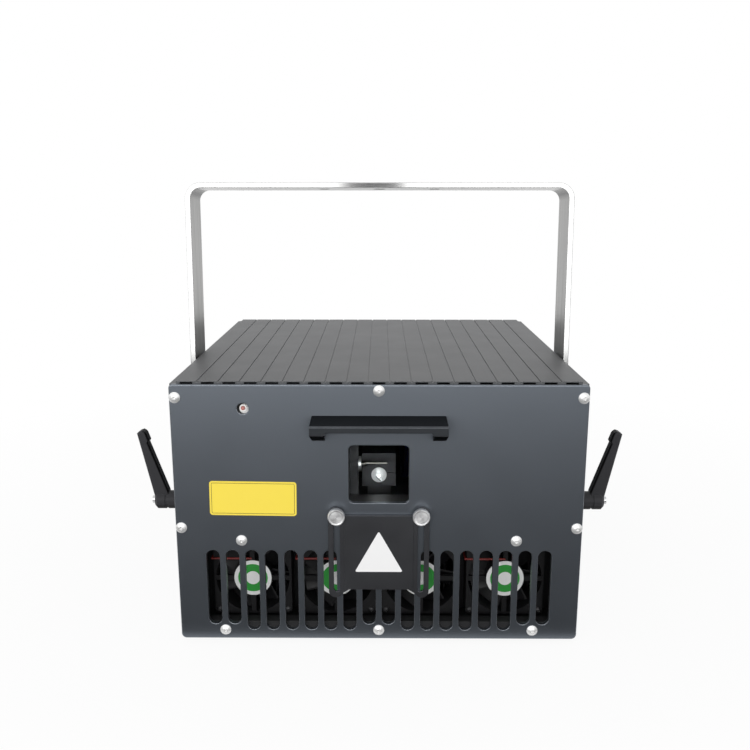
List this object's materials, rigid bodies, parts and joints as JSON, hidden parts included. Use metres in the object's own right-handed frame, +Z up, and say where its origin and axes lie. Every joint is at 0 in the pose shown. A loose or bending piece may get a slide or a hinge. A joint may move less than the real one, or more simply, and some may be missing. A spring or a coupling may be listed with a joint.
{
  "type": "laser show projector",
  "caption": "Box-shaped laser show projector with a hooded beam window, sliding shutter plate, vent slots over fans, ribbed top, tilting yoke on clamp levers and rear sockets.",
  "frame": {"origin": "on the surface that the feet stand on, under the middle of the outer box", "axes": "+Z up, the front with the beam window faces -Y, +X to the right seen from the front"},
  "size_m": [0.552, 0.457, 0.4593],
  "materials": {
    "case_panels": "slate grey anodised, fine bead-blasted",
    "top_cover": "slate grey anodised",
    "hood": "dark anodised with a bright front edge",
    "shutter": "dark anodised",
    "rubber_feet": "matt",
    "dark_steel": "black oxide",
    "bright_steel": "zinc plated",
    "thumb_screw": "turned bright face, knurled rim",
    "window_tunnel": "black anodised",
    "window_glass": "coated, clear",
    "label_yellow": "blank vinyl label",
    "mark_white": "printed ink",
    "fan_sticker": "plain paper sticker",
    "indicator_white": "gloss",
    "indicator_red": "clear red",
    "fan_plastic": "black",
    "lead_red": "red insulation",
    "inner_black": "black anodised",
    "laser_red": "red anodised",
    "laser_green": "green anodised",
    "laser_blue": "blue anodised",
    "mirror_face": "polished",
    "motor_metal": "ground",
    "supply_metal": "plain sheet",
    "board_green": "solder mask",
    "yoke_metal": "satin, lightly brushed",
    "washer": "black fibre",
    "lever_plastic": "black, fine grain",
    "socket_black": "black",
    "socket_metal": "nickel plated"
  },
  "bodies": {
    "case": {"base_plate": "case_panels", "feet": "rubber_feet", "front_panel": "case_panels", "rear_panel": "case_panels", "left_side_panel": "case_panels", "right_side_panel": "case_panels", "top_cover": "top_cover", "panel_screws": "bright_steel", "side_panel_screws": "dark_steel", "visor": "hood", "visor_screws": "dark_steel", "aperture_tunnel": "window_tunnel", "aperture_glass": "window_glass", "led_holder": "indicator_white", "emission_led": "indicator_red", "fan_frame_1": "fan_plastic", "fan_frame_2": "fan_plastic", "fan_frame_3": "fan_plastic", "fan_frame_4": "fan_plastic", "fan_screws": "bright_steel", "fan_bulkhead": "inner_black", "fan_leads": "lead_red", "heat_sink": "inner_black", "optical_plate": "inner_black", "red_laser_module": "laser_red", "green_laser_module": "laser_green", "blue_laser_module": "laser_blue", "mirror_mounts": "inner_black", "beam_mirrors": "mirror_face", "galvo_mount": "inner_black", "galvo_motor_x": "motor_metal", "galvo_motor_y": "motor_metal", "power_supply": "supply_metal", "control_board": "board_green", "driver_board": "board_green", "board_standoffs": "bright_steel", "pivot_washers": "washer", "mains_inlet": "socket_black", "key_lock": "socket_metal", "show_sockets": "socket_metal", "light_sockets": "socket_metal", "safety_lug": "socket_metal"},
    "yoke": {"yoke": "yoke_metal"},
    "clamp_stud_left": {"clamp_stud_left": "bright_steel", "lever_spring_left": "bright_steel"},
    "clamp_stud_right": {"clamp_stud_right": "bright_steel", "lever_spring_right": "bright_steel"},
    "clamp_lever_left": {"clamp_lever_left": "lever_plastic"},
    "clamp_lever_right": {"clamp_lever_right": "lever_plastic"},
    "shutter": {"shutter_plate": "shutter"},
    "thumb_screw_left": {"thumb_screw_left": "thumb_screw"},
    "thumb_screw_right": {"thumb_screw_right": "thumb_screw"},
    "impeller_1": {"fan_impeller_1": "fan_plastic"},
    "impeller_2": {"fan_impeller_2": "fan_plastic"},
    "impeller_3": {"fan_impeller_3": "fan_plastic"},
    "impeller_4": {"fan_impeller_4": "fan_plastic"},
    "scan_mirror_x": {"scan_mirror_x": "mirror_face"},
    "scan_mirror_y": {"scan_mirror_y": "mirror_face"},
    "key": {"control_key": "bright_steel"},
    "rocker": {"mains_rocker": "socket_black"}
  },
  "joints": [
    {"name": "yoke_tilt", "type": "hinge", "parent": "case", "child": "yoke", "pos_m": [0, -0.0525, 0.1], "axis": [1, 0, 0], "range_deg": [-97, 103]},
    {"name": "shutter_slide", "type": "slide", "parent": "case", "child": "shutter", "axis": [0, 0, 1], "range_m": [0, 0.078]},
    {"name": "key_turn", "type": "hinge", "parent": "case", "child": "key", "pos_m": [0.062, 0.2025, 0.158], "axis": [0, 1, 0], "range_deg": [0, 90]},
    {"name": "rocker_tip", "type": "hinge", "parent": "case", "child": "rocker", "pos_m": [0.1333, 0.2035, 0.158], "axis": [1, 0, 0], "range_deg": [-16, 0]},
    {"name": "scan_x_swing", "type": "hinge", "parent": "case", "child": "scan_mirror_x", "pos_m": [0, -0.1605, 0.1805], "axis": [1, 0, 0], "range_deg": [-32, 0]},
    {"name": "scan_y_swing", "type": "hinge", "parent": "case", "child": "scan_mirror_y", "pos_m": [0, -0.1575, 0.166], "axis": [0, 1, 0], "range_deg": [-12, 12]},
    {"name": "clamp_turn_left", "type": "hinge", "parent": "case", "child": "clamp_stud_left", "pos_m": [-0.2075, -0.0525, 0.1], "axis": [1, 0, 0], "range_deg": [-180, 180]},
    {"name": "lever_lift_left", "type": "slide", "parent": "clamp_stud_left", "child": "clamp_lever_left", "axis": [-1, 0, 0], "range_m": [0, 0.005], "stiffness_N_per_m": 800, "springref_m": -0.004, "deforming": ["lever_spring_left"]},
    {"name": "thumb_turn_left", "type": "hinge", "parent": "case", "child": "thumb_screw_left", "pos_m": [-0.0414, -0.1975, 0.1411], "axis": [0, -1, 0], "range_deg": [0, 360]},
    {"name": "clamp_turn_right", "type": "hinge", "parent": "case", "child": "clamp_stud_right", "pos_m": [0.2075, -0.0525, 0.1], "axis": [1, 0, 0], "range_deg": [-180, 180]},
    {"name": "lever_lift_right", "type": "slide", "parent": "clamp_stud_right", "child": "clamp_lever_right", "axis": [1, 0, 0], "range_m": [0, 0.005], "stiffness_N_per_m": 800, "springref_m": -0.004, "deforming": ["lever_spring_right"]},
    {"name": "thumb_turn_right", "type": "hinge", "parent": "case", "child": "thumb_screw_right", "pos_m": [0.0414, -0.1975, 0.1411], "axis": [0, -1, 0], "range_deg": [0, 360]},
    {"name": "fan_spin_1", "type": "hinge", "parent": "case", "child": "impeller_1", "pos_m": [-0.13035, -0.1575, 0.0593], "axis": [0, 1, 0], "continuous": true},
    {"name": "fan_spin_2", "type": "hinge", "parent": "case", "child": "impeller_2", "pos_m": [-0.04345, -0.1575, 0.0593], "axis": [0, 1, 0], "continuous": true},
    {"name": "fan_spin_3", "type": "hinge", "parent": "case", "child": "impeller_3", "pos_m": [0.04345, -0.1575, 0.0593], "axis": [0, 1, 0], "continuous": true},
    {"name": "fan_spin_4", "type": "hinge", "parent": "case", "child": "impeller_4", "pos_m": [0.13035, -0.1575, 0.0593], "axis": [0, 1, 0], "continuous": true}
  ]
}
